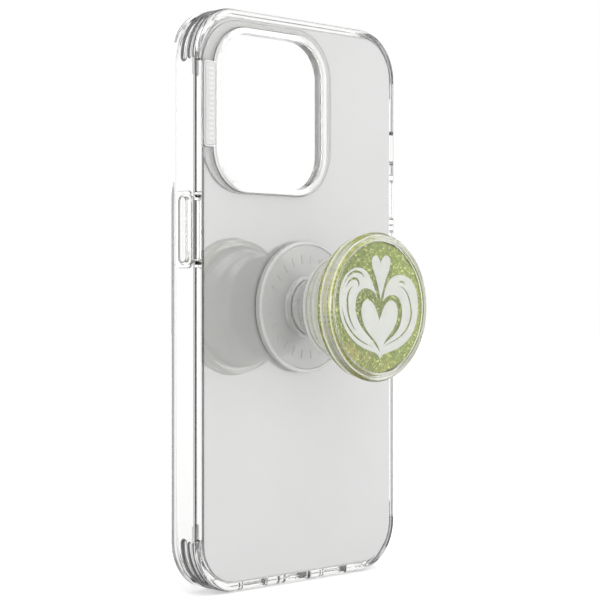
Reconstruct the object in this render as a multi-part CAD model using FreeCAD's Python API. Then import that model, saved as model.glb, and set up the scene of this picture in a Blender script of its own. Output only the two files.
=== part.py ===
import FreeCAD, Part
import math
import os

# Clear bumper case for a flat phone, with a collapsible round grip on its back.
# Frame, in mm: origin at the centre of the inner back face, where the phone's back rests.
# +Z runs up the case, +X to the right seen from the back, -Y out of the back, +Y to the screen.

V = FreeCAD.Vector

# ---------------------------------------------------------------- driving sizes
phone_w = 71.5
phone_h = 147.5
phone_t = 7.85
phone_corner_r = 11.6
slip = 0.1

wall = 2.2
back_t = 1.5
lip_rise = 0.95
lip_over = 0.9
back_edge_r = 1.4
front_edge_r = 1.1
seam = 0.02

cavity_w = phone_w + 2 * slip
cavity_h = phone_h + 2 * slip
cavity_r = phone_corner_r + slip
cavity_d = phone_t + slip
case_w = cavity_w + 2 * wall
case_h = cavity_h + 2 * wall
case_r = 13.4
front_y = cavity_d + lip_rise
panel_inset = 2.7
panel_step = 0.75

# camera guard
window_x = -12.4
window_z = 49.6
window_w = 38.0
window_h = 40.2
window_r = 10.0
guard_x = -12.65
guard_z = 50.35
guard_w = 47.3
guard_h = 45.3
guard_r = 13.0
guard_foot = 0.55
guard_rise = 1.9
ridge_w = 1.5
collar_w = 1.1
badge_x = -34.6
badge_z = 50.3
badge_w = 3.2
badge_l = 21.1
badge_t = 1.15

# buttons: centre height and length of each cap, and the shared section
button_y = 3.3
button_w = 3.5
button_r = 1.2
button_gap = 0.2
button_proud = 0.75
bezel_rise = 0.45
flange_over = 0.6
flange_t = 0.5
pocket_d = 1.1
side_button = (18.1, 16.7)
volume_up = (28.75, 11.2)
volume_down = (14.35, 11.2)
switch_z = 43.65
switch_l = 9.8
switch_w = 4.8

# bottom edge
port_w = 12.4
port_t = 6.2
speaker_x = 15.2
speaker_w = 10.5
speaker_t = 3.0

# corner bumpers: distance of each groove from the back face, and its half width
groove_rows = ((4.75, 1.05), (2.6, 0.6), (1.05, 0.4))
relief_reach = 4.6
relief_d = 0.35

# grip, measured as height above the back face and radius about its own axis
grip_z = -1.85
pad_r = 16.6
pad_t = 0.3
base_r = 17.8
base_top = 2.0
base_rim = 0.35
tick_ring_r = 12.9
tick_count = 24
hub_r = 8.0
hub_bore_r = 6.8
hub_top = 3.3
mid_h = 14.0
mid_t = 1.0
mid_r = 13.9
top_ring_h = 21.75
top_ring_t = 1.0
top_ring_r = 16.5
socket_t = 1.0
fold_wall = 0.8
boss_r = 5.5
lug_r = 7.5
lug_t = 0.6
turn_gap = 0.2
rim_r = 19.4
disc_r = 16.8
top_back_h = 24.0
glitter_t = 3.1
face_h = 28.95

os.makedirs("parts", exist_ok=True)


# ---------------------------------------------------------------- helpers
def slab(w, h, r, y0, y1, x=0.0, z=0.0):
    """Rounded rectangle w by h with corner radius r, from y0 to y1."""
    a = w / 2.0 - r
    b = h / 2.0 - r
    k = r * math.sqrt(0.5)
    edges = []
    for sx, sz in ((1, 1), (-1, 1), (-1, -1), (1, -1)):
        c = V(x + sx * a, y0, z + sz * b)
        side = c + V(sx * r, 0, 0)
        end = c + V(0, 0, sz * r)
        mid = c + V(sx * k, 0, sz * k)
        first, last = (side, end) if sx * sz > 0 else (end, side)
        edges.append(Part.Arc(first, mid, last).toShape())
    ring = []
    for n, e in enumerate(edges):
        ring.append(e)
        here = e.Vertexes[1].Point
        there = edges[(n + 1) % 4].Vertexes[0].Point
        if (there - here).Length > 1e-6:
            ring.append(Part.makeLine(here, there))
    face = Part.Face(Part.Wire(Part.__sortEdges__(ring)))
    return face.extrude(V(0, y1 - y0, 0))


def round_rims(shape, y, r):
    """Fillet every edge that lies in the plane at y."""
    picked = []
    for e in shape.Edges:
        box = e.BoundBox
        if abs(box.YMin - y) < 1e-4 and abs(box.YMax - y) < 1e-4:
            picked.append(e)
    return shape.makeFillet(r, picked)


def out(h):
    """Y of a point h above the back face of the case."""
    return -back_t - h


def turned(profile):
    """Solid of revolution about the grip's axis from (radius, height) points."""
    points = [V(r, out(h), grip_z) for r, h in profile]
    wire = Part.makePolygon(points + [points[0]])
    return Part.Face(wire).revolve(V(0, 0, grip_z), V(0, 1, 0), 360)


def ring(r0, r1, h0, h1):
    """Plain ring about the grip's axis; r0 of zero gives a disc."""
    solid = Part.makeCylinder(r1, h1 - h0, V(0, out(h1), grip_z), V(0, 1, 0))
    if r0 > 0:
        solid = solid.cut(Part.makeCylinder(r0, h1 - h0 + 2, V(0, out(h1) - 1, grip_z), V(0, 1, 0)))
    return solid


def soften(shape, r, keep):
    """Fillet the circular edges for which keep(radius, height) is true."""
    picked = []
    for e in shape.Edges:
        if hasattr(e.Curve, "Radius"):
            if keep(e.Curve.Radius, -back_t - e.Curve.Center.y):
                picked.append(e)
    return shape.makeFillet(r, picked)


def save(name, shape):
    """Write one node's solid or solids."""
    solids = shape.Solids
    part = solids[0] if len(solids) == 1 else Part.makeCompound(solids)
    part.exportStep("parts/" + name + ".step")


def pill(x0, x1, y, z, w, l, r):
    """Bar along X with a section w by l and corners of radius r; the ends may be given in either order."""
    bar = Part.makeBox(abs(x1 - x0), w, l, V(min(x0, x1), y - w / 2.0, z - l / 2.0))
    edges = [e for e in bar.Edges if abs(e.Vertexes[0].X - e.Vertexes[-1].X) > 1e-6]
    return bar.makeFillet(r, edges)


# ---------------------------------------------------------------- bumper frame
outer = slab(case_w, case_h, case_r, -back_t, front_y)
outer = round_rims(outer, -back_t, back_edge_r)
outer = round_rims(outer, front_y, front_edge_r)
cavity = slab(cavity_w, cavity_h, cavity_r, -panel_step, cavity_d)
cavity = round_rims(cavity, cavity_d, 0.8)
screen = slab(cavity_w - 2 * lip_over, cavity_h - 2 * lip_over, cavity_r - lip_over, 0, front_y + 1)
back_hole = slab(
    case_w - 2 * panel_inset, case_h - 2 * panel_inset, case_r - panel_inset, -back_t - 1, 0
)
frame = outer.cut(cavity).cut(screen).cut(back_hole)

# three moulded grooves wrap each corner between round-ended ribs
corner_x = case_w / 2.0 - case_r
corner_z = case_h / 2.0 - case_r
for sx in (1, -1):
    for sz in (1, -1):
        centre = V(sx * corner_x, 0, sz * corner_z)
        for rise, half in groove_rows:
            y = -back_t + rise
            inset = 0.0
            if rise < back_edge_r:
                inset = back_edge_r - math.sqrt(back_edge_r ** 2 - (back_edge_r - rise) ** 2)
            path_r = case_r - inset + 0.25 * half
            tube = Part.makeTorus(path_r, half, centre + V(0, y, 0), V(0, 1, 0))
            keep = Part.makeBox(60, 20, 60, V(0, -10, 0))
            keep.rotate(V(0, 0, 0), V(0, 1, 0), {(1, 1): 0, (1, -1): 90, (-1, -1): 180, (-1, 1): 270}[(sx, sz)])
            keep.translate(centre)
            tube = tube.common(keep)
            side_end = Part.makeSphere(half, centre + V(sx * path_r, y, 0))
            cap_end = Part.makeSphere(half, centre + V(0, y, sz * path_r))
            frame = frame.cut(tube).cut(side_end).cut(cap_end)

# shallow air-cushion relief inside each corner
relief = slab(cavity_w + 2 * relief_d, cavity_h + 2 * relief_d, cavity_r + relief_d, 1.2, 6.8)
for sx in (1, -1):
    for sz in (1, -1):
        x0 = sx * (corner_x - relief_reach)
        z0 = sz * (corner_z - relief_reach)
        zone = Part.makeBox(40, 20, 40, V(min(x0, x0 + 40 * sx), -5, min(z0, z0 + 40 * sz)))
        frame = frame.cut(relief.common(zone))


# ---------------------------------------------------------------- buttons
def button_bezel(side, z, length):
    """Raised moulded block round a button, blended into the wall."""
    root = side * (case_w / 2.0 - 1.0)
    crest = side * (case_w / 2.0 + bezel_rise)
    block = pill(root, crest, button_y, z, button_w + 3.6, length + 3.2, 1.6)
    return block.makeFillet(0.4, face_edges(block, crest))


def button_slot(side, z, length):
    """Everything cut from one wall for a button: the slot and the pocket for its inner flange."""
    crest = side * (case_w / 2.0 + 2)
    inner = side * cavity_w / 2.0
    gap = 2 * button_gap
    slot = pill(inner - side, crest, button_y, z, button_w + gap, length + gap, button_r + button_gap)
    deep = inner + side * pocket_d
    gap = 2 * (flange_over + button_gap)
    pocket = pill(inner - side, deep, button_y, z, button_w + gap, length + gap, button_r + 0.6)
    return slot.fuse(pocket)


def face_edges(bar, x):
    """Edges of a bar's end face at x."""
    return [e for e in bar.Edges if abs(e.BoundBox.XMin - x) < 1e-4 and abs(e.BoundBox.XMax - x) < 1e-4]


def button_cap(side, z, length):
    """Cap that stands out of its bezel, with a flange behind the wall that keeps it in."""
    crest = side * (case_w / 2.0 + button_proud)
    inner = side * cavity_w / 2.0
    shelf = inner + side * (pocket_d - 0.15)
    back = shelf - side * flange_t
    body = pill(back, crest, button_y, z, button_w, length, button_r)
    body = body.makeFillet(0.35, face_edges(body, crest))
    grow = 2 * flange_over
    flange = pill(back, shelf, button_y, z, button_w + grow, length + grow, button_r + 0.5)
    return body.fuse(flange).removeSplitter()


buttons = ((-1, *side_button), (1, *volume_up), (1, *volume_down))
for button in buttons:
    frame = frame.fuse(button_bezel(*button))
for button in buttons:
    frame = frame.cut(button_slot(*button))
save("side_button_cap", button_cap(*buttons[0]))
save("volume_up_cap", button_cap(*buttons[1]))
save("volume_down_cap", button_cap(*buttons[2]))

# ---------------------------------------------------------------- edge openings
switch_hole = pill(cavity_w / 2.0 - 1, case_w / 2.0 + 1, button_y, switch_z, switch_w, switch_l, 2.2)
frame = frame.cut(switch_hole)
bottom = -case_h / 2.0


def edge_slot(x, y, w, t):
    """Round-ended slot through the bottom wall."""
    bar = Part.makeBox(w, t, wall + 2, V(x - w / 2.0, y - t / 2.0, bottom - 1))
    edges = [e for e in bar.Edges if abs(e.Vertexes[0].Z - e.Vertexes[-1].Z) > 1e-6]
    return bar.makeFillet(t / 2.0 - 0.01, edges)


frame = frame.cut(edge_slot(0, phone_t / 2.0, port_w, port_t))
for sx in (1, -1):
    frame = frame.cut(edge_slot(sx * speaker_x, phone_t / 2.0, speaker_w, speaker_t))
gate = Part.makeBox(2.6, 0.9, 0.25, V(-1.3, 2.2, case_h / 2.0 - 0.25))
frame = frame.cut(gate)
save("bumper_frame", frame)

# ---------------------------------------------------------------- back panel
skin = slab(
    case_w - 2 * panel_inset - 2 * seam,
    case_h - 2 * panel_inset - 2 * seam,
    case_r - panel_inset - seam,
    -back_t,
    -panel_step / 2.0,
)
tongue = slab(
    cavity_w - 2 * seam, cavity_h - 2 * seam, cavity_r - seam, -panel_step + seam, 0
)
panel = skin.fuse(tongue)
collar_grow = 2 * (collar_w + seam)
panel = panel.cut(
    slab(
        window_w + collar_grow,
        window_h + collar_grow,
        window_r + collar_w + seam,
        -back_t - 1,
        1,
        window_x,
        window_z,
    )
)
save("back_panel", panel.removeSplitter())

# ---------------------------------------------------------------- camera guard
foot_y = -back_t - guard_foot
crest_y = -back_t - guard_rise
guard = slab(guard_w, guard_h, guard_r, foot_y, -back_t - seam, guard_x, guard_z)
guard = round_rims(guard, foot_y, 0.45)
grow = 2 * ridge_w
ridge = slab(
    window_w + grow, window_h + grow, window_r + ridge_w, crest_y, -back_t - seam, window_x, window_z
)
ridge = round_rims(ridge, crest_y, 0.6)
grow = 2 * collar_w
collar = slab(
    window_w + grow, window_h + grow, window_r + collar_w, -back_t - 0.3, 0, window_x, window_z
)
guard = guard.fuse(ridge).fuse(collar).removeSplitter()
blend = []
for e in guard.Edges:
    box = e.BoundBox
    flat = abs(box.YMin - foot_y) < 1e-4 and abs(box.YMax - foot_y) < 1e-4
    if flat and box.XMin > window_x - window_w / 2.0 - ridge_w - 0.05:
        if box.XMax < window_x + window_w / 2.0 + ridge_w + 0.05 and box.ZMax < window_z + window_h / 2.0 + 2:
            blend.append(e)
guard = guard.makeFillet(0.5, blend)
opening = slab(window_w, window_h, window_r, -20, 10, window_x, window_z)
guard = guard.cut(opening)

# badge strip: a plain ribbed inlay on the guard's wide side
badge_y = crest_y + 0.1
pocket = slab(
    badge_w + 2 * seam, badge_l + 2 * seam, 0.6, crest_y - 1, badge_y + badge_t, badge_x, badge_z
)
seat = slab(badge_w + 0.9, badge_l + 0.9, 0.9, badge_y + 0.35, foot_y + 0.2, badge_x + 0.3, badge_z)
guard = guard.fuse(seat).cut(opening).cut(pocket)
save("camera_guard_ring", guard.removeSplitter())
badge = slab(badge_w, badge_l, 0.6, badge_y, badge_y + badge_t - seam, badge_x, badge_z)
badge = round_rims(badge, badge_y, 0.25)
for n in range(15):
    z = badge_z + (n - 7) * 1.28
    rib = slab(1.5, 0.5, 0.2, badge_y - 0.12, badge_y + 0.3, badge_x, z)
    badge = badge.fuse(rib)
save("badge_strip", badge)

# ---------------------------------------------------------------- grip base
save("grip_adhesive_pad", ring(0, pad_r, seam, pad_t - seam))
base = turned(
    (
        (0, pad_t),
        (base_r - 0.4, pad_t),
        (base_r, pad_t + 0.4),
        (base_r, base_top + base_rim - 0.25),
        (base_r - 0.25, base_top + base_rim),
        (base_r - 0.85, base_top + base_rim),
        (base_r - 1.15, base_top),
        (0, base_top),
    )
)
for n in range(tick_count):
    angle = (n + 0.5) * 360.0 / tick_count
    tick = Part.makeBox(0.7, 0.35, 2.3, V(-0.35, out(base_top + 0.15), tick_ring_r - 1.15))
    tick = tick.makeFillet(0.25, [e for e in tick.Edges if abs(e.Vertexes[0].Y - e.Vertexes[-1].Y) > 1e-6])
    tick.rotate(V(0, 0, 0), V(0, 1, 0), angle)
    tick.translate(V(0, 0, grip_z))
    base = base.fuse(tick)
save("grip_base_platform", base)

# snap collar that holds the accordion's foot, with four flats round its shoulder
hub = turned(
    (
        (hub_bore_r, base_top + seam),
        (hub_r + 0.3, base_top + seam),
        (hub_r + 0.3, base_top + 0.2),
        (hub_r, base_top + 0.5),
        (hub_r, hub_top - 0.3),
        (hub_r - 0.3, hub_top),
        (hub_bore_r + 0.2, hub_top),
        (hub_bore_r, hub_top - 0.2),
    )
)
for n in range(4):
    flat = Part.makeBox(3, 3, 6.2, V(hub_r - 0.55, out(base_top + 0.5) - 3, -3.1))
    flat.rotate(V(0, 0, 0), V(0, 1, 0), 90 * n)
    flat.translate(V(0, 0, grip_z))
    hub = hub.cut(flat)
save("grip_base_hub", hub)

# ---------------------------------------------------------------- accordion
lower_foot = hub_bore_r - 0.05
lower = turned(
    (
        (lower_foot - 0.95, base_top + 0.05),
        (lower_foot, base_top + 0.05),
        (lower_foot, hub_top),
        (hub_r - 0.2, hub_top + 0.55),
        (9.4, 6.4),
        (11.6, 9.9),
        (mid_r - 0.5, mid_h - 0.05),
        (mid_r - 0.5 - fold_wall, mid_h - 0.05),
        (11.6 - fold_wall, 10.1),
        (9.4 - fold_wall, 6.6),
        (hub_r - 0.2 - fold_wall, hub_top + 0.9),
        (lower_foot - 0.95, hub_top - 0.1),
    )
)
save("accordion_lower", lower)

mid = ring(mid_r - 1.3, mid_r, mid_h, mid_h + mid_t)
mid = soften(mid, 0.4, lambda r, h: r > mid_r - 0.1)
save("accordion_mid_ring", mid)

upper_start = mid_h + mid_t + 0.05
upper_end = top_ring_h - 0.05
upper = turned(
    (
        (mid_r - 1.3, upper_start),
        (mid_r - 0.5, upper_start),
        (14.6, 17.6),
        (15.5, 19.6),
        (top_ring_r - 0.4, upper_end),
        (top_ring_r - 0.4 - fold_wall, upper_end),
        (15.5 - fold_wall, 19.8),
        (14.6 - fold_wall, 17.8),
    )
)
save("accordion_upper", upper)

socket_h = top_ring_h + top_ring_t + 0.05
top_ring = ring(top_ring_r - 1.5, top_ring_r, top_ring_h, socket_h - 0.05)
top_ring = soften(top_ring, 0.3, lambda r, h: r > top_ring_r - 0.1 and h < top_ring_h + 0.1)
save("accordion_top_ring", top_ring)

# socket plate: round hole with two keyways that the top's lugs drop through
socket = ring(boss_r + 0.15, top_ring_r - 0.1, socket_h, socket_h + socket_t)
for turn in (0, 180):
    key = Part.makeBox(lug_r + 0.3, socket_t + 2, 4.6, V(0, out(socket_h + socket_t) - 1, -2.3))
    key = key.common(ring(0, lug_r + 0.25, socket_h - 1, socket_h + socket_t + 1).translated(V(0, 0, -grip_z)))
    key.rotate(V(0, 0, 0), V(0, 1, 0), turn)
    key.translate(V(0, 0, grip_z))
    socket = socket.cut(key)
save("socket_plate", socket)

# ---------------------------------------------------------------- swappable top
# backing disc with the bayonet boss; its two lugs sit under the plate, a quarter turn from the keyways
lug_top = socket_h - turn_gap
backing = ring(0, disc_r + 0.2, top_back_h, top_back_h + 0.8)
backing = backing.fuse(ring(0, boss_r, lug_top - lug_t, top_back_h + 0.1))
lugs = Part.makeBox(4.0, lug_t, 2 * lug_r + 1, V(-2.0, out(lug_top), grip_z - lug_r - 0.5))
lugs = lugs.common(ring(0, lug_r, lug_top - lug_t, lug_top))
backing = backing.fuse(lugs)
save("top_backing", backing.removeSplitter())

# clear rim: back band, waist, middle band and bevelled front
rim = turned(
    (
        (disc_r + 0.25, top_back_h),
        (rim_r - 1.1, top_back_h),
        (rim_r - 0.7, top_back_h + 0.3),
        (rim_r - 0.5, top_back_h + 1.3),
        (rim_r - 0.9, top_back_h + 1.65),
        (rim_r - 0.45, top_back_h + 2.05),
        (rim_r - 0.15, top_back_h + 2.6),
        (rim_r, top_back_h + 3.1),
        (rim_r, top_back_h + 3.6),
        (rim_r - 0.4, face_h - 0.8),
        (rim_r - 1.2, face_h - 0.25),
        (rim_r - 1.9, face_h),
        (disc_r + 0.25, face_h),
    )
)
save("top_rim", rim)

glitter_h = top_back_h + 0.85
save("glitter_disc", ring(0, disc_r, glitter_h, glitter_h + glitter_t))

art_h = glitter_h + glitter_t + 0.05
art_t = 0.15
dome_h = art_h + art_t + 0.05
dome = ring(0, disc_r + 0.2, dome_h, face_h + 0.1)
dome = soften(dome, 0.3, lambda r, h: h > face_h)
save("clear_dome", dome)


# ---------------------------------------------------------------- inlaid latte-art design
def curve(points):
    """Smooth curve through design points given as fractions of the disc's radius."""
    spline = Part.BSplineCurve()
    spline.interpolate([V(u * disc_r, out(art_h + art_t), grip_z + v * disc_r) for u, v in points])
    return spline.toShape()


def outline(*runs):
    """Flat piece bounded by smooth runs that meet at sharp corners."""
    wire = Part.Wire([curve(run) for run in runs])
    return Part.Face(wire).extrude(V(0, art_t, 0))


def stroke(points, width):
    """Tapering line, pointed at both ends, used to part the white design."""
    a = []
    b = []
    last = len(points) - 1
    for n, (u, v) in enumerate(points):
        before = points[max(n - 1, 0)]
        after = points[min(n + 1, last)]
        du = after[0] - before[0]
        dv = after[1] - before[1]
        half = 0.5 * width * math.sin(math.pi * n / last) / math.hypot(du, dv)
        a.append((u - dv * half, v + du * half))
        b.append((u + dv * half, v - du * half))
    a[0] = b[0] = points[0]
    a[-1] = b[-1] = points[-1]
    return outline(a, b[::-1])


small_heart = outline(
    ((0.03, 0.12), (-0.01, 0.25), (-0.05, 0.38), (-0.11, 0.52), (-0.165, 0.65), (-0.165, 0.74),
     (-0.09, 0.795), (-0.01, 0.75), (0.036, 0.655)),
    ((0.036, 0.655), (0.08, 0.76), (0.165, 0.80), (0.245, 0.75), (0.25, 0.66), (0.205, 0.54),
     (0.135, 0.41), (0.085, 0.28), (0.03, 0.12)),
)
# the wings' outer edges meet at the tip, and their inner edges run into the big heart's stem
rosetta = outline(
    ((-0.055, 0.17), (-0.13, 0.325), (-0.21, 0.46), (-0.32, 0.565), (-0.48, 0.605), (-0.64, 0.565),
     (-0.79, 0.45), (-0.875, 0.285), (-0.90, 0.08), (-0.875, -0.11), (-0.79, -0.29), (-0.64, -0.46),
     (-0.43, -0.595), (-0.20, -0.675), (-0.06, -0.72), (0.01, -0.80)),
    ((0.01, -0.80), (0.08, -0.735), (0.21, -0.70), (0.43, -0.64), (0.64, -0.53), (0.79, -0.38),
     (0.87, -0.205), (0.90, -0.03), (0.89, 0.15), (0.82, 0.33), (0.70, 0.445), (0.52, 0.50),
     (0.345, 0.48), (0.21, 0.395), (0.13, 0.26), (0.08, 0.08)),
    ((0.08, 0.08), (0.16, 0.155), (0.265, 0.185), (0.39, 0.17), (0.485, 0.09), (0.525, -0.045),
     (0.515, -0.18), (0.46, -0.31), (0.355, -0.42), (0.21, -0.51), (0.085, -0.60)),
    ((0.085, -0.60), (0.165, -0.49), (0.29, -0.37), (0.39, -0.23), (0.42, -0.06), (0.37, 0.06),
     (0.28, 0.105), (0.17, 0.065), (0.075, -0.05), (0.0, -0.215)),
    ((0.0, -0.215), (-0.06, -0.06), (-0.15, 0.06), (-0.265, 0.115), (-0.36, 0.075), (-0.405, -0.03),
     (-0.385, -0.18), (-0.30, -0.335), (-0.18, -0.455), (-0.06, -0.56), (0.005, -0.70)),
    ((0.005, -0.70), (-0.09, -0.585), (-0.20, -0.485), (-0.345, -0.365), (-0.465, -0.225),
     (-0.53, -0.075), (-0.53, 0.095), (-0.465, 0.22), (-0.35, 0.285), (-0.22, 0.275), (-0.055, 0.17)),
)
lines = (
    (((-0.80, 0.33), (-0.72, 0.45), (-0.60, 0.53), (-0.48, 0.54), (-0.38, 0.50), (-0.35, 0.44)), 0.035),
    (((-0.76, 0.27), (-0.69, 0.38), (-0.59, 0.435), (-0.49, 0.41), (-0.46, 0.345), (-0.48, 0.30)), 0.04),
    (((-0.58, 0.32), (-0.66, 0.27), (-0.71, 0.17), (-0.715, 0.02), (-0.68, -0.14), (-0.60, -0.28),
      (-0.51, -0.38)), 0.04),
    (((-0.83, 0.05), (-0.81, -0.08), (-0.75, -0.22), (-0.65, -0.35), (-0.50, -0.47), (-0.31, -0.56),
      (-0.13, -0.61)), 0.032),
    (((0.44, 0.385), (0.52, 0.395), (0.60, 0.35)), 0.032),
    (((0.41, 0.29), (0.50, 0.315), (0.60, 0.26), (0.68, 0.15), (0.73, 0.0), (0.735, -0.14),
      (0.68, -0.28), (0.57, -0.40), (0.40, -0.50), (0.22, -0.565), (0.10, -0.61)), 0.034),
)
for points, width in lines:
    rosetta = rosetta.cut(stroke(points, width))
save("art_inlay", Part.makeCompound(rosetta.Solids + small_heart.Solids))
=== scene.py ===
import math

import bpy
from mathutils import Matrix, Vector


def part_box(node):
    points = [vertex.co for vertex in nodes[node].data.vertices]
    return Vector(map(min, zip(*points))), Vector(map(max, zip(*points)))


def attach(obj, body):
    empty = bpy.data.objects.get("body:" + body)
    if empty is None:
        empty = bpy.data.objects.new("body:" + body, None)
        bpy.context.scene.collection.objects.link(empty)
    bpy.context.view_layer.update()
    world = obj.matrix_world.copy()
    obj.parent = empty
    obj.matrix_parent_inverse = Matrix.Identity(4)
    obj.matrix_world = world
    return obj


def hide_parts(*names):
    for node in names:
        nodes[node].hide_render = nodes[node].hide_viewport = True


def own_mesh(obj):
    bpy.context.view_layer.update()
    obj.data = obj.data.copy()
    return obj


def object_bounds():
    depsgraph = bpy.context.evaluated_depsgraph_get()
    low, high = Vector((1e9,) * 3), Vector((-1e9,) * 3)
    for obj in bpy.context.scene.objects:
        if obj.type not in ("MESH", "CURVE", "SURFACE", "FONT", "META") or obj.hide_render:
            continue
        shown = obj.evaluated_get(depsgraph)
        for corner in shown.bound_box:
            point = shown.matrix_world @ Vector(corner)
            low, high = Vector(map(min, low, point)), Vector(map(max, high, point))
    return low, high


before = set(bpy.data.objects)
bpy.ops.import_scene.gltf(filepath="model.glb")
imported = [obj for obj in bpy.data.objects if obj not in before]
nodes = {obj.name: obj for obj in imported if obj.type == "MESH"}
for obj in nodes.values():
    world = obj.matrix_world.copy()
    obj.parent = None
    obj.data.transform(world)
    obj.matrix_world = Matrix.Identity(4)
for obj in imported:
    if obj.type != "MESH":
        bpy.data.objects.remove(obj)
cad_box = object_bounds()
scene = bpy.context.scene

MM = 0.001
BACK_Y = -1.5          # back face of the case, mm
GRIP_Z = -1.85         # height of the grip's axis, mm
CORNER_R = 13.4        # outer corner radius of the frame, mm
BUTTON_BEZEL = 0.45    # how far the button bezels stand proud of the side walls, mm
# moulded corner grooves: distance from the back face, half width, and radius of their path, mm
GROOVES = ((4.75, 1.05, 13.6625), (2.6, 0.6, 13.55), (1.05, 0.4, 13.4555))
RIB_RISE = 0.12        # how far the badge's ribs stand proud of it, mm
SOFT_TPU_IOR = 1.48
WHITE = (1.0, 1.0, 1.0)


def out_y(height):
    """Y, in metres, of a height above the back face in mm."""
    return (BACK_Y - height) * MM


# ---------------------------------------------------------------- node helpers
class Paint:
    """A material under construction: one Principled shader and short calls that add nodes to it."""

    def __init__(self, name, **sockets):
        self.material = bpy.data.materials.new(name)
        self.material.use_nodes = True
        self.tree = self.material.node_tree
        self.shader = self.tree.nodes["Principled BSDF"]
        self.set(**sockets)
        self.place = self.add("ShaderNodeTexCoord").outputs["Object"]

    def plug(self, socket, value):
        """Link an output to a socket, or give the socket a number, a vector or a colour."""
        if hasattr(value, "links"):
            self.tree.links.new(value, socket)
        elif isinstance(value, tuple) and len(socket.default_value) == 4:
            socket.default_value = (*value, 1.0)
        else:
            socket.default_value = value

    def set(self, **sockets):
        for key, value in sockets.items():
            self.plug(self.shader.inputs[key.replace("_", " ")], value)

    def linked(self, socket):
        """The output that feeds one of the shader's sockets."""
        return self.shader.inputs[socket].links[0].from_socket

    def add(self, kind, **settings):
        node = self.tree.nodes.new(kind)
        for key, value in settings.items():
            setattr(node, key, value)
        return node

    def feed(self, node, **sockets):
        """Fill a node's inputs by name or, for numbered ones, as i0, i1 and so on."""
        for key, value in sockets.items():
            numbered = key[0] == "i" and key[1:].isdigit()
            self.plug(node.inputs[int(key[1:]) if numbered else key.replace("_", " ")], value)
        return node

    def noise(self, scale, detail=3.0, roughness=0.5, stretch=None):
        at = self.place
        if stretch:
            at = self.feed(self.add("ShaderNodeMapping"), Vector=at, Scale=stretch).outputs[0]
        node = self.add("ShaderNodeTexNoise")
        self.feed(node, Vector=at, Scale=scale, Detail=detail, Roughness=roughness)
        return node.outputs["Fac"]

    def cells(self, scale):
        return self.feed(self.add("ShaderNodeTexVoronoi"), Vector=self.place, Scale=scale)

    def channels(self, colour):
        """Red, green and blue of a colour, used as three separate random numbers per cell."""
        return self.feed(self.add("ShaderNodeSeparateColor"), i0=colour).outputs

    def math(self, operation, a, b=0.0, clamp=False):
        node = self.add("ShaderNodeMath", operation=operation, use_clamp=clamp)
        return self.feed(node, i0=a, i1=b).outputs[0]

    def hypot(self, a, b):
        squares = self.math("ADD", self.math("MULTIPLY", a, a), self.math("MULTIPLY", b, b))
        return self.math("SQRT", squares)

    def remap(self, value, low, high, to_low=0.0, to_high=1.0):
        node = self.add("ShaderNodeMapRange", clamp=True)
        self.feed(node, i0=value, i1=low, i2=high, i3=to_low, i4=to_high)
        return node.outputs[0]

    def blend(self, share, a, b):
        node = self.add("ShaderNodeMix", data_type="RGBA")
        return self.feed(node, i0=share, i6=a, i7=b).outputs[2]

    def split(self):
        """X, Y and Z of the object's own coordinates, in metres."""
        node = self.feed(self.add("ShaderNodeSeparateXYZ"), i0=self.place)
        return node.outputs[0], node.outputs[1], node.outputs[2]

    def from_axis(self):
        """Distance from the grip's axis, in metres."""
        x, _, z = self.split()
        return self.hypot(x, self.math("SUBTRACT", z, GRIP_Z * MM))

    def rising(self, start, end, to_low=0.0, to_high=1.0):
        """From one value to another between two heights above the back face, in mm."""
        return self.remap(self.split()[1], out_y(start), out_y(end), to_low, to_high)

    def between(self, low, high, soft=0.15):
        """1 between two heights above the back face, in mm, with soft edges."""
        return self.math("MULTIPLY", self.rising(low, low + soft), self.rising(high, high - soft))

    def bump(self, height, depth_mm, strength):
        node = self.add("ShaderNodeBump")
        self.feed(node, Height=height, Distance=depth_mm * MM, Strength=strength)
        return node.outputs["Normal"]


def clear_plastic(name, tint=(0.985, 0.99, 0.985), rough=0.02, ior=1.46, haze=0.0):
    """Moulded clear plastic: faint flow waviness, and fine scuffs that roughen it in places."""
    paint = Paint(name, Transmission_Weight=1.0 - haze, IOR=ior)
    flow = paint.noise(140, 2.0, 0.4)
    scuff = paint.noise(900, 5.0, 0.65, stretch=(1.0, 1.0, 0.25))
    warm = tuple(c * k for c, k in zip(tint, (1.0, 0.997, 0.985)))
    paint.set(
        Base_Color=paint.blend(paint.remap(flow, 0.35, 0.65), tint, warm),
        Roughness=paint.remap(scuff, 0.45, 0.8, rough, rough + 0.07),
        Normal=paint.bump(flow, 0.04, 0.25),
    )
    return paint


# ---------------------------------------------------------------- materials of the case
def corner_grooves(paint):
    """Shares of the corner grooves' shoulder bands, which get painted shade, and of their floor bands, which
    get a painted highlight, from the frame's own coordinates.
    """
    x, y, z = paint.split()
    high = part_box("bumper_frame")[1]
    u = paint.math("SUBTRACT", paint.math("ABSOLUTE", x), high.x - (BUTTON_BEZEL + CORNER_R) * MM)
    v = paint.math("SUBTRACT", paint.math("ABSOLUTE", z), high.z - CORNER_R * MM)
    radius = paint.hypot(paint.math("MAXIMUM", u, 0.0), paint.math("MAXIMUM", v, 0.0))
    beyond = paint.hypot(paint.math("MINIMUM", u, 0.0), paint.math("MINIMUM", v, 0.0))
    shaded_shoulders = highlight_floors = 0.0
    for rise, half, path in GROOVES:
        wide = half * MM
        across = paint.hypot(paint.math("SUBTRACT", y, (BACK_Y + rise) * MM), beyond)
        off = paint.hypot(paint.math("SUBTRACT", radius, path * MM), across)
        inside = paint.remap(off, wide * 1.36, wide * 1.26)
        shoulder = paint.remap(across, wide * 0.5, wide * 0.72)
        floor = paint.remap(across, wide * 0.5, wide * 0.35)
        shaded_shoulders = paint.math("MAXIMUM", shaded_shoulders, paint.math("MULTIPLY", inside, shoulder))
        highlight_floors = paint.math("MAXIMUM", highlight_floors, paint.math("MULTIPLY", inside, floor))
    return shaded_shoulders, highlight_floors


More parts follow.
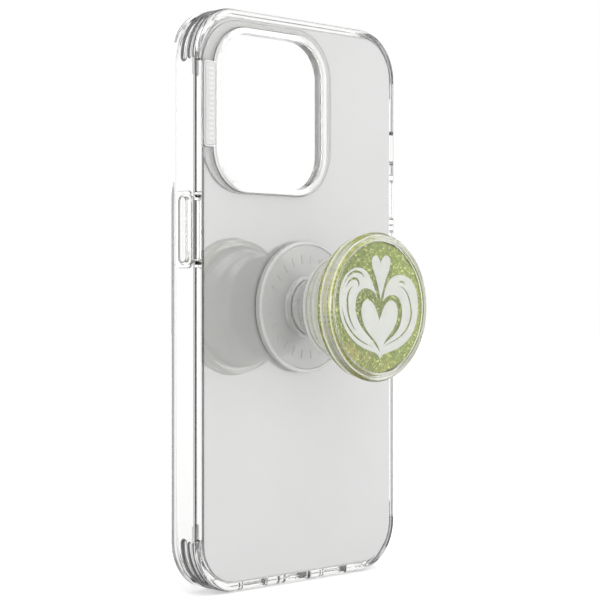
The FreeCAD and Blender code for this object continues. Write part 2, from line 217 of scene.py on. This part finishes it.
def grooved_frame():
    """Clear TPU with painted shade, near black, on the corner grooves' shoulder bands and a painted
    highlight, white and less clear, on their floor bands, standing in for their refraction.
    """
    paint = clear_plastic("frame_clear_tpu", rough=0.025, ior=SOFT_TPU_IOR)
    shaded_shoulders, highlight_floors = corner_grooves(paint)
    # painted highlight: the groove floor bands turn white and less clear; painted shade: the groove shoulder
    # bands turn near black
    colour = paint.blend(highlight_floors, paint.linked("Base Color"), WHITE)
    paint.set(
        Base_Color=paint.blend(shaded_shoulders, colour, (0.03, 0.03, 0.032)),
        Transmission_Weight=paint.remap(highlight_floors, 0.0, 1.0, 1.0, 0.45),
    )
    return paint


def camera_guard():
    """Clear TPU that whitens towards the ridge's crest as a painted highlight, with a thin grey band of
    painted shade above its foot.
    """
    paint = clear_plastic("guard_clear_tpu", tint=(0.99, 0.99, 0.985), rough=0.03, ior=SOFT_TPU_IOR)
    # painted shade: a thin grey band 0.6 to 0.95 mm above the back face
    shade_band = paint.between(0.6, 0.95, 0.05)
    paint.set(
        Base_Color=paint.blend(shade_band, paint.linked("Base Color"), (0.3, 0.3, 0.3)),
        # painted highlight: less transmission, so whiter, towards the ridge's crest
        Transmission_Weight=paint.rising(0.75, 1.1, 0.86, 0.5),
    )
    return paint


def ribbed_badge():
    """Milky strip with ribs paler than the ground between them."""
    paint = Paint("badge_milky", Transmission_Weight=0.35, IOR=SOFT_TPU_IOR, Roughness=0.3)
    grain = paint.noise(2600, 3.0, 0.6)
    ground = paint.blend(paint.remap(grain, 0.3, 0.7), (0.72, 0.72, 0.71), (0.82, 0.82, 0.81))
    rib_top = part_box("badge_strip")[0].y
    ribs = paint.remap(paint.split()[1], rib_top + (RIB_RISE - 0.02) * MM, rib_top + RIB_RISE / 3 * MM)
    paint.set(
        Base_Color=paint.blend(ribs, ground, (0.97, 0.97, 0.96)),
        Normal=paint.bump(grain, 0.02, 0.5),
    )
    return paint


def frosted_panel():
    """Hard back: polycarbonate with a satin inner face, so it reads as pale frosted grey under gloss."""
    paint = Paint(
        "panel_frosted_polycarbonate", Transmission_Weight=0.2, IOR=1.58, Specular_IOR_Level=0.2,
        Coat_Weight=1.0, Coat_Roughness=0.03, Coat_IOR=2.0,
    )
    fine = paint.noise(5200, 2.0, 0.6)
    cloud = paint.noise(22, 3.0, 0.5)
    wear = paint.noise(420, 6.0, 0.7, stretch=(1.0, 1.0, 0.18))
    grey = paint.blend(paint.remap(cloud, 0.35, 0.65), (0.415, 0.415, 0.412), (0.442, 0.442, 0.439))
    paint.set(
        Base_Color=paint.blend(paint.remap(fine, 0.42, 0.58, 0.0, 0.35), grey, (0.478, 0.478, 0.473)),
        Roughness=paint.remap(wear, 0.4, 0.75, 0.32, 0.42),
        Normal=paint.bump(fine, 0.006, 0.35),
    )
    return paint


# ---------------------------------------------------------------- materials of the grip
def soft_fold(name, low, high, through):
    """Flexible translucent plastic of the accordion, hazier where it bends."""
    bend_spacing = 1.9     # mm
    paint = Paint(name, Transmission_Weight=through, IOR=1.45, Coat_Weight=0.6, Coat_Roughness=0.12)
    cloud = paint.noise(260, 4.0, 0.55)
    grain = paint.noise(3400, 3.0, 0.6)
    bends = paint.math("MULTIPLY", paint.split()[1], 1.0 / (bend_spacing * MM))
    stress = paint.math("MULTIPLY", paint.math("PINGPONG", bends, 1.0), 0.4)
    paint.set(
        Base_Color=paint.blend(paint.math("ADD", paint.remap(cloud, 0.3, 0.7, 0.0, 0.6), stress), low, high),
        Roughness=paint.remap(grain, 0.3, 0.75, 0.16, 0.34),
        Normal=paint.bump(grain, 0.02, 0.5),
    )
    return paint


def adhesive_film():
    paint = Paint("adhesive_film", Transmission_Weight=0.25, IOR=1.47, Roughness=0.35)
    weave = paint.noise(1500, 5.0, 0.7)
    paint.set(
        Base_Color=paint.blend(paint.remap(weave, 0.35, 0.65), (0.66, 0.66, 0.65), (0.76, 0.76, 0.75)),
        Normal=paint.bump(weave, 0.05, 0.6),
    )
    return paint


def base_disc():
    """Milky disc whose raised rim top is painted white as a highlight."""
    paint = clear_plastic("base_milky", tint=(0.86, 0.86, 0.85), rough=0.05, haze=0.45)
    # painted highlight: white on the rim top, 16.5 to 16.9 mm from the axis
    edge = paint.remap(paint.from_axis(), 16.5 * MM, 16.9 * MM)
    edge = paint.math("MULTIPLY", edge, paint.rising(2.0, 2.15))
    paint.set(Base_Color=paint.blend(edge, paint.linked("Base Color"), (1.0, 1.0, 0.995)))
    return paint


def snap_hub():
    """Milky collar whose four outer flats are painted white as a highlight."""
    paint = clear_plastic("hub_milky", tint=(0.90, 0.90, 0.89), rough=0.03, haze=0.38)
    x, _, z = paint.split()
    side = paint.math("ABSOLUTE", paint.math("SUBTRACT", z, GRIP_Z * MM))
    # painted highlight: white on the four outer flats
    flat_highlight = paint.remap(paint.math("MAXIMUM", paint.math("ABSOLUTE", x), side), 7.36 * MM, 7.42 * MM)
    paint.set(Base_Color=paint.blend(flat_highlight, paint.linked("Base Color"), WHITE))
    return paint


def printed_art():
    """Off-white ink with a fine dot screen and a faint cloud."""
    paint = Paint("printed_off_white", IOR=1.5, Roughness=0.4)
    dots = paint.cells(5200).outputs["Distance"]
    cloud = paint.noise(300, 4.0, 0.6)
    tone = paint.blend(paint.remap(cloud, 0.3, 0.7), (0.80, 0.805, 0.775), (0.87, 0.875, 0.85))
    paint.set(
        Base_Color=paint.blend(paint.remap(dots, 0.2, 0.7, 0.0, 0.12), tone, (0.60, 0.64, 0.52)),
        Normal=paint.bump(dots, 0.01, 0.4),
    )
    return paint


def resin_body(paint, painted_light_share):
    """Colour of the green resin without its flakes: deep to pale across the disc, gold low on its left.

    With a painted-light share it is brightened by that share, a lit copy of the resin; otherwise it gets
    painted shade, darkest behind the art, as if shaded by it."""
    x, _, z = paint.split()
    drift = paint.noise(75, 3.0, 0.55)
    deep = paint.blend(drift, (0.10, 0.15, 0.004), (0.19, 0.25, 0.012))
    pale = paint.blend(drift, (0.25, 0.345, 0.025), (0.37, 0.45, 0.08))
    across = paint.remap(x, -12.0 * MM, 18.0 * MM)
    share = paint.math("MULTIPLY", across, paint.remap(drift, 0.3, 0.7, 0.5, 1.2), clamp=True)
    body = paint.blend(share, deep, pale)
    low = paint.remap(z, (GRIP_Z - 3.0) * MM, (GRIP_Z - 15.0) * MM)
    left = paint.remap(x, 8.0 * MM, -6.0 * MM)
    patches = paint.remap(paint.noise(160, 3.0, 0.6), 0.42, 0.6)
    gold = paint.math("MULTIPLY", paint.math("MULTIPLY", low, left), patches)
    body = paint.blend(paint.math("MULTIPLY", gold, 0.8), body, (0.50, 0.36, 0.12))
    # painted light: the resin brightened towards yellow-lime by the given share
    if painted_light_share:
        return paint.blend(painted_light_share, body, (0.98, 1.0, 0.14))
    # painted shade: the resin darkens within 11.5 mm of the grip's axis, behind the art
    middle = paint.remap(paint.from_axis(), 11.5 * MM, 8.5 * MM, 0.0, 0.6)
    return paint.blend(middle, body, (0.085, 0.125, 0.004))


def flakes(paint, painted_light_share=0.0):
    """Colour, metal share, roughness and tilted normal of green resin full of fine flakes.

    Each flake has its own tone and tilt."""
    coarse = paint.channels(paint.cells(2800).outputs["Color"])
    fine_cells = paint.cells(5600).outputs["Color"]
    fine = paint.channels(fine_cells)
    colour = resin_body(paint, painted_light_share)
    for value, low, high, to_low, to_high, tone in (
        (fine[1], 0.0, 0.4, 0.6, 0.0, (0.09, 0.13, 0.006)),
        (coarse[1], 0.0, 0.4, 0.65, 0.0, (0.13, 0.17, 0.012)),
        (fine[0], 0.78, 1.0, 0.0, 0.8, (0.74, 0.87, 0.24)),
        (coarse[0], 0.80, 0.98, 0.0, 0.85, (0.90, 0.95, 0.32)),
    ):
        colour = paint.blend(paint.remap(value, low, high, to_low, to_high), colour, tone)

    tilt = paint.add("ShaderNodeVectorMath", operation="SUBTRACT")
    paint.feed(tilt, i0=fine_cells, i1=(0.5, 0.5, 0.5))
    spread = paint.add("ShaderNodeVectorMath", operation="SCALE")
    paint.feed(spread, i0=tilt.outputs[0], Scale=0.55)
    facing = paint.add("ShaderNodeVectorMath", operation="ADD")
    paint.feed(facing, i0=spread.outputs[0], i1=paint.add("ShaderNodeNewGeometry").outputs["Normal"])
    unit = paint.feed(paint.add("ShaderNodeVectorMath", operation="NORMALIZE"), i0=facing.outputs[0])
    metal = paint.remap(coarse[2], 0.4, 1.0, 0.10, 0.55)
    rough = paint.remap(fine[2], 0.0, 1.0, 0.22, 0.5)
    return colour, metal, rough, unit.outputs[0]


def glitter():
    paint = Paint("green_glitter_resin", IOR=1.4)
    colour, metal, rough, normal = flakes(paint)
    paint.set(Base_Color=colour, Metallic=metal, Roughness=rough, Normal=normal)
    return paint


def lined_rim():
    """Clear acrylic whose bore carries the glitter, brightened as painted light, so the bands glow
    yellow-green through the wall.

    Its back is faintly lined too, and its waist and lip are painted white as highlights, with pale and dark
    streaks painted in as highlight and shade."""
    paint = clear_plastic("rim_clear_acrylic", tint=(0.99, 0.995, 0.97), rough=0.01, ior=1.49)
    radius = paint.from_axis()
    bore = paint.remap(radius, 17.3 * MM, 17.15 * MM)
    inner = paint.math("MULTIPLY", bore, paint.between(23.9, 27.9))
    behind = paint.rising(24.25, 24.1, 0.0, 0.2)
    # painted highlights: the waist band and the lip at the front edge get whitened below
    waist = paint.between(25.25, 26.15, 0.1)
    lip = paint.math("MULTIPLY", paint.between(28.3, 30.0), paint.remap(radius, 18.2 * MM, 18.45 * MM))
    lined = paint.math("MAXIMUM", inner, behind)
    for shape, share in ((waist, 0.5), (lip, 0.4)):
        lined = paint.math("MAXIMUM", lined, paint.math("MULTIPLY", shape, share))

    # painted light: the lining is the green resin brightened 0.68 of the way to yellow-lime
    colour = flakes(paint, painted_light_share=0.68)[0]
    # painted highlight and shade: pale yellow-white streaks and dark olive streaks across the lining
    streak = paint.noise(1700, 3.0, 0.6, stretch=(1.0, 0.16, 1.0))
    colour = paint.blend(paint.remap(streak, 0.52, 0.64, 0.0, 0.75), colour, (1.0, 1.0, 0.5))
    colour = paint.blend(paint.remap(streak, 0.47, 0.38, 0.0, 0.6), colour, (0.30, 0.36, 0.05))
    # painted highlight: white over the waist and the lip
    colour = paint.blend(paint.math("MAXIMUM", waist, lip), colour, (1.0, 1.0, 0.98))
    duller = paint.math("MULTIPLY", lined, 0.3)
    paint.set(
        Base_Color=paint.blend(lined, paint.linked("Base Color"), colour),
        Roughness=paint.math("ADD", paint.linked("Roughness"), duller),
        Transmission_Weight=paint.math("SUBTRACT", 1.0, lined),
    )
    return paint


def make_paints():
    """One material for each node."""
    made = {
        "bumper_frame": grooved_frame(),
        "back_panel": frosted_panel(),
        "camera_guard_ring": camera_guard(),
        "badge_strip": ribbed_badge(),
        "grip_adhesive_pad": adhesive_film(),
        "grip_base_platform": base_disc(),
        "grip_base_hub": snap_hub(),
        "accordion_lower": soft_fold("fold_soft_grey", (0.43, 0.435, 0.405), (0.60, 0.605, 0.58), 0.35),
        "accordion_mid_ring": clear_plastic("mid_ring_milky", (0.88, 0.88, 0.85), rough=0.05, haze=0.6),
        "accordion_upper": soft_fold("fold_soft_pale", (0.47, 0.485, 0.385), (0.62, 0.635, 0.525), 0.35),
        "accordion_top_ring": soft_fold("top_ring_soft", (0.70, 0.75, 0.60), (0.84, 0.88, 0.74), 0.5),
        "socket_plate": soft_fold("socket_soft", (0.66, 0.70, 0.55), (0.80, 0.84, 0.68), 0.4),
        "top_backing": clear_plastic("backing_clear", (0.93, 0.96, 0.86), rough=0.05),
        "top_rim": lined_rim(),
        "glitter_disc": glitter(),
        "art_inlay": printed_art(),
        "clear_dome": clear_plastic("dome_clear_acrylic", (0.995, 1.0, 0.99), rough=0.01, ior=1.3),
    }
    for button in ("side_button", "volume_up", "volume_down"):
        made[button + "_cap"] = clear_plastic("button_clear_tpu_" + button, rough=0.04, ior=SOFT_TPU_IOR)
    return made


# ---------------------------------------------------------------- accordion folds
def lathe(name, profile, steps=144):
    """Closed solid turned about the grip's axis from a loop of (radius, height above the back face), mm."""
    verts = []
    faces = []
    count = len(profile)
    for s in range(steps):
        angle = 2 * math.pi * s / steps
        for radius, height in profile:
            x = radius * math.cos(angle)
            z = GRIP_Z + radius * math.sin(angle)
            verts.append((x * MM, out_y(height), z * MM))
    for s in range(steps):
        t = (s + 1) % steps
        for n in range(count):
            m = (n + 1) % count
            faces.append((s * count + n, s * count + m, t * count + m, t * count + n))
    mesh = bpy.data.meshes.new(name)
    mesh.from_pydata(verts, [], faces)
    mesh.validate()
    mesh.update()
    for polygon in mesh.polygons:
        polygon.use_smooth = True
    piece = bpy.data.objects.new(name, mesh)
    scene.collection.objects.link(piece)
    return piece


def along(points, share):
    """Point at a share of the way along a Catmull-Rom curve through the given points."""
    last = len(points) - 1
    spot = min(share * last, last - 1e-9)
    n = int(spot)
    t = spot - n
    p0, p1 = points[max(n - 1, 0)], points[n]
    p2, p3 = points[n + 1], points[min(n + 2, last)]
    return tuple(
        0.5 * (2 * b + (c - a) * t + (2 * a - 5 * b + 4 * c - d) * t * t + (3 * b - a - 3 * c + d) * t ** 3)
        for a, b, c, d in zip(p0, p1, p2, p3)
    )


def fold_profile(points, ribs, wall=0.8, depth=0.16, samples=72):
    """Outer curve with shallow moulded ribs, closed by an inner curve one wall thickness inside, in mm."""
    outer = []
    for n in range(samples + 1):
        share = n / samples
        radius, height = along(points, share)
        ease = min(1.0, 8 * share, 8 * (1 - share))
        rib = 0.5 - 0.5 * math.cos(2 * math.pi * ribs * share)
        outer.append((radius - depth * ease * rib, height))
    inner = [(radius - wall, height) for radius, height in outer]
    return outer + inner[::-1]


def make_folds(paints):
    """The two flexible folds: each rides on the body it grows from."""
    lower_curve = (
        (6.75, 2.08), (6.75, 3.3), (7.5, 3.85), (7.8, 5.0), (8.45, 6.6), (9.5, 8.4), (10.75, 10.2),
        (12.1, 12.1), (13.4, 13.95),
    )
    upper_curve = (
        (13.4, 15.05), (14.0, 16.3), (14.6, 17.6), (15.1, 18.6), (15.5, 19.6), (15.9, 20.7), (16.1, 21.7),
    )
    lower = lathe("accordion_lower_fold", fold_profile(lower_curve, ribs=3))
    upper = lathe("accordion_upper_fold", fold_profile(upper_curve, ribs=2))
    for piece, key in ((lower, "accordion_lower"), (upper, "accordion_upper")):
        piece.data.materials.append(paints[key].material)
        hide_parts(key)
    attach(lower, "case")
    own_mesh(lower)
    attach(upper, "grip_middle")
    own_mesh(upper)


# ---------------------------------------------------------------- dress the frame
def dress_nodes(paints, crease_degrees=32):
    """Give each CAD node its material and even shading with crisp edges."""
    for name, node in nodes.items():
        node.data.materials.clear()
        node.data.materials.append(paints[name].material)
        if not node.data.has_custom_normals:
            node.data.shade_smooth()
            node.data.set_sharp_from_angle(angle=math.radians(crease_degrees))
            weigh = node.modifiers.new("even_normals", "WEIGHTED_NORMAL")
            weigh.keep_sharp = True
            weigh.mode = "FACE_AREA_WITH_ANGLE"


# ---------------------------------------------------------------- floor, light and camera
def make_floor():
    """Plain pale floor just under the case, left out of its reflections and refractions."""
    paint = Paint("studio_floor", Roughness=0.9, Specular_IOR_Level=0.1)
    paint.set(Emission_Color=WHITE, Emission_Strength=0.35)
    soft = paint.noise(9, 3.0, 0.5)
    paint.set(Base_Color=paint.blend(soft, (0.93, 0.93, 0.93), (0.96, 0.96, 0.96)))
    half = 2.5
    level = cad_box[0].z - 0.4 * MM
    corners = [(-half, -half, level), (half, -half, level), (half, half, level), (-half, half, level)]
    mesh = bpy.data.meshes.new("studio_floor")
    mesh.from_pydata(corners, [], [(0, 1, 2, 3)])
    mesh.materials.append(paint.material)
    floor = bpy.data.objects.new("studio_floor", mesh)
    scene.collection.objects.link(floor)
    floor.visible_transmission = False
    floor.visible_glossy = False


# brightness of the horizon and of the dark part of the studio, and the elevations between which
# one fades into the other, in degrees
HORIZON = 0.95
DIM = 0.22
FADE_FROM, FADE_TO = 30, 52
# soft boxes: towards, inner and outer angle, gain
SOFT_BOXES = (
    ((0.77, -0.62, 0.22), 16, 38, 1.25),
    ((-0.37, -0.92, 0.06), 3, 8, 7.0),
    ((-0.72, 0.69, 0.05), 6, 14, 0.9),
    ((-0.45, -1.0, 0.75), 14, 28, 1.3),
    ((0.0, 0.0, 1.0), 24, 44, 1.9),
)
# round dark flag behind the camera: towards, inner and outer angle, share of light left
FLAG = ((-1.0, -1.0, 0.0), 14, 24, 0.10)
# upright dark strips: bearing from +X towards +Y and share of light left
STRIPS = ((67, 0.08), (20, 0.12), (113, 0.12), (152, 0.4), (-8, 0.2))
STRIP_INNER, STRIP_OUTER = 3, 6


class Sky:
    """World shader under construction, all of it as functions of direction."""

    def __init__(self, name):
        self.world = bpy.data.worlds.new(name)
        self.world.use_nodes = True
        self.tree = self.world.node_tree
        self.tree.nodes.clear()
        self.direction = self.add("ShaderNodeTexCoord").outputs["Generated"]

    def add(self, kind):
        return self.tree.nodes.new(kind)

    def link(self, output, socket):
        self.tree.links.new(output, socket)

    def dotted(self, toward):
        node = self.add("ShaderNodeVectorMath")
        node.operation = "DOT_PRODUCT"
        node.inputs[1].default_value = Vector(toward).normalized()
        self.link(self.direction, node.inputs[0])
        return node.outputs["Value"]

    def ramp(self, value, low, high):
        node = self.add("ShaderNodeMapRange")
        node.interpolation_type = "SMOOTHSTEP"
        node.inputs[1].default_value = low
        node.inputs[2].default_value = high
        self.link(value, node.inputs[0])
        return node.outputs[0]

    def combine(self, operation, a, b=0.0):
        node = self.add("ShaderNodeMath")
        node.operation = operation
        for socket, value in zip(node.inputs, (a, b)):
            if hasattr(value, "links"):
                self.link(value, socket)
            else:
                socket.default_value = value
        return node.outputs[0]

    def patch(self, toward, inner, outer):
        """1 within `inner` degrees of a direction, falling to 0 at `outer`."""
        edge, core = math.cos(math.radians(outer)), math.cos(math.radians(inner))
        return self.ramp(self.dotted(toward), edge, core)

    def belt(self, axis, inner, outer):
        """1 within `inner` degrees of the plane square to an axis, falling to 0 at `outer`."""
        away = self.combine("ABSOLUTE", self.dotted(axis))
        return self.ramp(away, math.sin(math.radians(outer)), math.sin(math.radians(inner)))

    def strip(self, bearing, inner, outer):
        """1 in a narrow upright strip at a bearing in degrees, seen from +X towards +Y."""
        turn = math.radians(bearing)
        near = self.belt((-math.sin(turn), math.cos(turn), 0), inner, outer)
        ahead = self.dotted((math.cos(turn), math.sin(turn), 0))
        return self.combine("MULTIPLY", near, self.ramp(ahead, 0.0, 0.3))

    def dimmed(self, level, shape, left):
        """The level with only a share of it left where the shape is 1."""
        loss = self.combine("MULTIPLY", shape, 1.0 - left)
        return self.combine("MULTIPLY", level, self.combine("SUBTRACT", 1.0, loss))

    def show(self, level):
        """Light the scene with the level, and show plain white to the camera."""
        shown = self.add("ShaderNodeMix")
        shown.data_type = "FLOAT"
        self.link(self.add("ShaderNodeLightPath").outputs["Is Camera Ray"], shown.inputs[0])
        self.link(level, shown.inputs[2])
        shown.inputs[3].default_value = 1.0
        background = self.add("ShaderNodeBackground")
        background.inputs["Color"].default_value = (*WHITE, 1.0)
        self.link(shown.outputs[0], background.inputs["Strength"])
        self.link(background.outputs[0], self.add("ShaderNodeOutputWorld").inputs["Surface"])


def make_world():
    """White studio: a bright horizon, wide soft boxes, a dark flag and narrow dark strips."""
    sky = Sky("studio")
    band = sky.belt((0, 0, 1), FADE_FROM, FADE_TO)
    level = sky.combine("ADD", DIM, sky.combine("MULTIPLY", band, HORIZON - DIM))
    for toward, inner, outer, gain in SOFT_BOXES:
        level = sky.combine("ADD", level, sky.combine("MULTIPLY", sky.patch(toward, inner, outer), gain))
    toward, inner, outer, left = FLAG
    level = sky.dimmed(level, sky.patch(toward, inner, outer), left)
    for bearing, left in STRIPS:
        level = sky.dimmed(level, sky.strip(bearing, STRIP_INNER, STRIP_OUTER), left)
    sky.show(level)
    scene.world = sky.world


def make_camera():
    """Level with the middle of the case, 45 degrees to the left of its back."""
    data = bpy.data.cameras.new("photo_camera")
    data.lens = 101.2
    data.sensor_width = 36.0
    camera = bpy.data.objects.new("photo_camera", data)
    camera.location = (-0.32346, -0.32432, 0.0)
    camera.rotation_euler = (math.radians(90), 0.0, math.radians(-45))
    scene.collection.objects.link(camera)
    scene.camera = camera


paints = make_paints()
dress_nodes(paints)
make_folds(paints)
make_floor()
make_world()
make_camera()
scene.view_settings.view_transform = "Standard"
scene.view_settings.look = "None"
